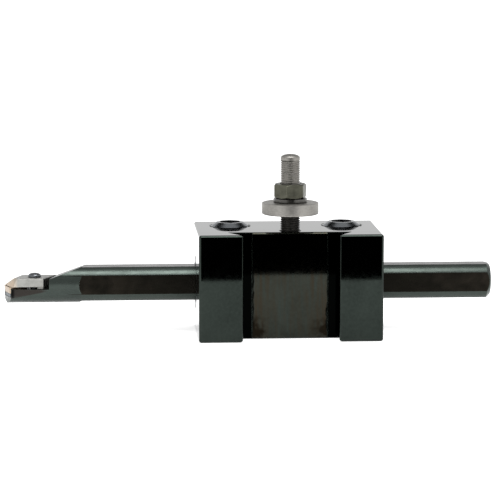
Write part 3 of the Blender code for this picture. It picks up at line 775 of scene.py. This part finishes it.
class HOLDER_OT_stud(bpy.types.Operator):
    """Thread the height stud and dome its end"""

    bl_idname = "holder.stud"
    bl_label = "Height stud"

    def execute(self, context):
        threads = context.scene.holder_threads
        middle, low, high = node_middle("height_stud")
        radius = (high.x - low.x) / 2
        steps = 64
        chamfer = 0.9 * MM
        thread_end = high.z - 2.9 * MM
        stud = thread_rod("stud", radius, threads.stud_pitch, threads.depth_share * 0.75,
                          low.z - MM, thread_end, steps)
        outline = [(0.0, low.z), (radius - chamfer, low.z), (radius + CLEAR, low.z + chamfer),
                   (radius + CLEAR, thread_end - 0.4 * MM), (radius - 0.5 * MM, thread_end + 0.1 * MM),
                   (0.0, thread_end + 0.1 * MM)]
        combine(stud, turn("envelope", outline, steps), "INTERSECT")
        shoulder = radius - 0.12 * MM
        outline = [(0.0, thread_end - 0.5 * MM), (radius - 0.55 * MM, thread_end - 0.5 * MM),
                   (shoulder, thread_end - 0.1 * MM)]
        dome = 1.8 * MM
        dome_steps = 9
        for step in range(dome_steps):
            angle = math.pi / 2 * step / dome_steps
            outline.append((shoulder * math.cos(angle), high.z - dome + dome * math.sin(angle)))
        outline.append((0.0, high.z))
        combine(stud, turn("crown", outline, steps), "UNION")
        move_to(stud, (middle.x, middle.y, 0.0))
        tidy_mesh(stud)
        shade(stud, 28.0)
        hand_over(stud, "height_stud", "holder", stud_finish())
        return {"FINISHED"}


class HOLDER_OT_wheel(bpy.types.Operator):
    """Turn the height wheel"""

    bl_idname = "holder.wheel"
    bl_label = "Height wheel"

    def execute(self, context):
        edges = context.scene.holder_edges
        middle, low, high = node_middle("thumbwheel")
        radius = (high.x - low.x) / 2
        thick = high.z - low.z
        rim, bore_rim = 0.5 * MM, 0.35 * MM
        outline = [(STUD_BORE, bore_rim), (STUD_BORE + bore_rim, 0.0), (radius - rim, 0.0),
                   (radius - rim * 0.3, rim * 0.3), (radius, rim), (radius, thick - rim),
                   (radius - rim * 0.3, thick - rim * 0.3), (radius - rim, thick),
                   (STUD_BORE + bore_rim, thick), (STUD_BORE, thick - bore_rim)]
        wheel = turn("wheel", outline, edges.turn_steps, ring=True)
        move_to(wheel, (middle.x, middle.y, low.z))
        shade(wheel, 30.0)
        colour = context.scene.holder_colours.wheel
        finish = plain_finish("wheel_steel", colour, (0.42, 0.54), 0.3, (1.0, 1.0, 3.0), 800.0,
                              lift=1.8, cloud=90.0, relief=0.004, contrast=1.6)
        hand_over(wheel, "thumbwheel", "wheel", finish)
        return {"FINISHED"}


class HOLDER_OT_washer(bpy.types.Operator):
    """Turn and split the lock washer"""

    bl_idname = "holder.washer"
    bl_label = "Lock washer"

    def execute(self, context):
        edges = context.scene.holder_edges
        middle, low, high = node_middle("lock_washer")
        radius = (high.x - low.x) / 2
        thick = high.z - low.z
        outline = [(STUD_BORE, 0.0), (radius, 0.0), (radius, thick), (STUD_BORE, thick)]
        washer = turn("washer", outline, 96, ring=True)
        slit = box_tool("slit", (-SLIT_HALF, STUD_BORE / 2, -MM), (SLIT_HALF, radius * 1.2, thick + MM))
        combine(washer, slit)
        move_to(washer, (middle.x, middle.y, low.z))
        round_edges(washer, 0.15 * MM, edges.round_steps)
        shade(washer)
        colour = context.scene.holder_colours.washer
        finish = plain_finish("washer_steel", colour, (0.24, 0.4), 0.3)
        hand_over(washer, "lock_washer", "washer", finish)
        return {"FINISHED"}


class HOLDER_OT_nut(bpy.types.Operator):
    """Round the lock nut's edges and finish it"""

    bl_idname = "holder.nut"
    bl_label = "Lock nut"

    def execute(self, context):
        edges = context.scene.holder_edges
        nut = refined_copy("lock_nut", edges.small_round, edges.round_steps)
        colour = context.scene.holder_colours.nut
        finish = plain_finish("nut_steel", colour, (0.3, 0.5), 0.35, scale=420.0,
                              lift=3.2, cloud=300.0, relief=0.01, contrast=2.2)
        hand_over(nut, "lock_nut", "nut", finish)
        return {"FINISHED"}


class HOLDER_OT_bar(bpy.types.Operator):
    """Finish the boring bar"""

    bl_idname = "holder.bar"
    bl_label = "Boring bar"

    def execute(self, context):
        edges = context.scene.holder_edges
        bar = refined_copy("boring_bar", edges.bar_round, edges.round_steps)
        hand_over(bar, "boring_bar", "bar", bar_finish())
        return {"FINISHED"}


class HOLDER_OT_insert(bpy.types.Operator):
    """Finish the insert and the seat below it"""

    bl_idname = "holder.insert"
    bl_label = "Insert and seat"

    def execute(self, context):
        edges = context.scene.holder_edges
        colours = context.scene.holder_colours
        for node, colour, name in (("cutting_insert", colours.coating, "insert_coating"),
                                   ("insert_seat", colours.seat, "seat_carbide")):
            piece = refined_copy(node, edges.small_round * 0.6, edges.round_steps)
            finish = plain_finish(name, colour, (0.3, 0.45), 0.2, scale=1400.0, lift=1.5)
            hand_over(piece, node, "bar", finish)
        return {"FINISHED"}


class HOLDER_OT_clamp(bpy.types.Operator):
    """Finish the top clamp"""

    bl_idname = "holder.clamp"
    bl_label = "Top clamp"

    def execute(self, context):
        edges = context.scene.holder_edges
        clamp = refined_copy("top_clamp", edges.small_round, edges.round_steps)
        hand_over(clamp, "top_clamp", "clamp", clamp_finish())
        return {"FINISHED"}


class HOLDER_OT_clamp_screw(bpy.types.Operator):
    """Dome the clamp screw's head and sink its socket"""

    bl_idname = "holder.clamp_screw"
    bl_label = "Clamp screw"

    def execute(self, context):
        threads = context.scene.holder_threads
        middle, low, high = node_middle("clamp_screw")
        head = (high.x - low.x) / 2
        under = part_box("top_clamp")[1].z + 0.1 * MM
        rise = high.z - under
        shank, chamfer = 2.0 * MM, 0.4 * MM
        rim = 0.15 * MM
        flat_share = 0.42
        outline = [(0.0, low.z), (shank - chamfer, low.z), (shank, low.z + chamfer), (shank, under),
                   (head - rim, under), (head, under + rim)]
        dome_steps = 8
        for step in range(1, dome_steps):
            angle = math.pi / 2 * step / dome_steps
            outline.append((head * (flat_share + (1.0 - flat_share) * math.cos(angle)),
                            under + rim + (rise - rim) * math.sin(angle)))
        outline += [(head * flat_share, high.z), (0.0, high.z)]
        screw = turn("clamp_screw_piece", outline, 64)
        combine(screw, hex_prism("socket", threads.clamp_socket_flats, high.z - 1.1 * MM, high.z + MM))
        move_to(screw, (middle.x, middle.y, 0.0))
        tidy_mesh(screw)
        shade(screw, 30.0)
        colour = scaled(context.scene.holder_colours.dark, 2.4)
        finish = plain_finish("clamp_screw_steel", colour, (0.2, 0.32), 0.25, scale=1000.0)
        hand_over(screw, "clamp_screw", "clamp_screw", finish)
        return {"FINISHED"}


class HOLDER_OT_stage(bpy.types.Operator):
    """Lay the floor, hang the card and the lights and place the camera"""

    bl_idname = "holder.stage"
    bl_label = "Stage, light and camera"

    def execute(self, context):
        scene = context.scene
        stage = scene.holder_stage
        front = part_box("holder_block")[0].y
        start_clean()
        floor_drop = 0.1 * MM
        bpy.ops.mesh.primitive_plane_add(size=stage.floor_size, location=(0.0, 0.0, -floor_drop))
        floor = context.active_object
        floor.name = "floor"
        apply_place(floor)
        floor.data.materials.append(floor_paper())
        self.card("front_card", size=(0.152, stage.card_height), turned=(math.pi / 2, 0.0, 0.0),
                  middle=(0.004, front - stage.card_distance, stage.card_gap + stage.card_height / 2))
        self.card("top_card", size=(0.8, 0.38), turned=(0.0, 0.0, 0.0), middle=(0.0, 0.41, 0.5))
        self.light("front_light", location=(0.0, -0.26, 0.62), tilt=-22.0, size=0.36,
                   power=stage.top_light)
        self.room(stage.world_light)
        self.camera(location=(-0.1021, -1.2507, 0.2179), turned=(81.97576, -0.08776, -3.82402),
                    lens=stage.lens)
        scene.view_settings.view_transform = "Standard"
        return {"FINISHED"}

    def card(self, name, size, turned, middle):
        """Hang a black card that only reflections see."""
        start_clean()
        bpy.ops.mesh.primitive_plane_add(size=1.0)
        card = bpy.context.active_object
        card.name = name
        card.dimensions = (*size, 0.0)
        card.rotation_euler = turned
        card.location = middle
        apply_place(card)
        card.data.materials.append(card_paper())
        card.visible_camera = False
        card.visible_diffuse = False
        card.visible_shadow = False

    def light(self, name, location, tilt, size, power):
        """Hang one soft square light, tilted from straight down by an angle in degrees."""
        start_clean()
        bpy.ops.object.light_add(type="AREA", location=location, rotation=(math.radians(tilt), 0.0, 0.0))
        light = bpy.context.active_object
        light.name = name
        light.data.size = size
        light.data.energy = power

    def room(self, strength):
        """Light the scene from a plain white room."""
        world = bpy.data.worlds.new("white_room")
        world.use_nodes = True
        background = world.node_tree.nodes["Background"]
        background.inputs["Color"].default_value = (1.0, 1.0, 1.0, 1.0)
        background.inputs["Strength"].default_value = strength
        bpy.context.scene.world = world

    def camera(self, location, turned, lens):
        """Place the camera in front, a little to the left and above, turned by angles in degrees."""
        start_clean()
        rotation = [math.radians(angle) for angle in turned]
        bpy.ops.object.camera_add(location=location, rotation=rotation)
        camera = bpy.context.active_object
        camera.data.lens = lens
        camera.data.sensor_width = 36.0
        bpy.context.scene.camera = camera


def matt_paper(name, grey, roughness):
    """Matt paper of one grey, with its shader."""
    material = bpy.data.materials.new(name)
    material.use_nodes = True
    shader = material.node_tree.nodes["Principled BSDF"]
    shader.inputs["Base Color"].default_value = (grey, grey, grey, 1.0)
    shader.inputs["Roughness"].default_value = roughness
    shader.inputs["Specular IOR Level"].default_value = 0.0
    return material, shader


def floor_paper():
    """White paper that stays bright under the object."""
    material, shader = matt_paper("floor_paper", 0.9, 0.9)
    shader.inputs["Emission Color"].default_value = (1.0, 1.0, 1.0, 1.0)
    shader.inputs["Emission Strength"].default_value = 0.55
    return material


def card_paper():
    """Black card."""
    return matt_paper("card_paper", 0.002, 1.0)[0]


OPERATORS = (HOLDER_OT_block, HOLDER_OT_sleeve, HOLDER_OT_set_screws, HOLDER_OT_stud, HOLDER_OT_wheel,
             HOLDER_OT_washer, HOLDER_OT_nut, HOLDER_OT_bar, HOLDER_OT_insert, HOLDER_OT_clamp,
             HOLDER_OT_clamp_screw, HOLDER_OT_stage)


class HOLDER_PT_panel(bpy.types.Panel):
    """Panel of the holder's pieces"""

    bl_idname = "HOLDER_PT_panel"
    bl_label = "Boring Bar Holder"
    bl_space_type = "VIEW_3D"
    bl_region_type = "UI"
    bl_category = "Holder"

    def draw(self, context):
        for operator in OPERATORS:
            self.layout.operator(operator.bl_idname)


SETTINGS = (("holder_edges", HolderEdges), ("holder_threads", HolderThreads),
            ("holder_colours", HolderColours), ("holder_stage", HolderStage))


def register():
    """Register the settings, the operators and the panel."""
    for name, settings in SETTINGS:
        bpy.utils.register_class(settings)
        setattr(bpy.types.Scene, name, PointerProperty(type=settings))
    for entry in (*OPERATORS, HOLDER_PT_panel):
        bpy.utils.register_class(entry)


def unregister():
    """Take back what register did."""
    for entry in reversed((*OPERATORS, HOLDER_PT_panel)):
        bpy.utils.unregister_class(entry)
    for name, settings in reversed(SETTINGS):
        delattr(bpy.types.Scene, name)
        bpy.utils.unregister_class(settings)


def main():
    """Build every piece in order."""
    register()
    bpy.ops.holder.block()
    bpy.ops.holder.sleeve()
    bpy.ops.holder.set_screws()
    bpy.ops.holder.stud()
    bpy.ops.holder.wheel()
    bpy.ops.holder.washer()
    bpy.ops.holder.nut()
    bpy.ops.holder.bar()
    bpy.ops.holder.insert()
    bpy.ops.holder.clamp()
    bpy.ops.holder.clamp_screw()
    bpy.ops.holder.stage()


if __name__ == "__main__":
    main()
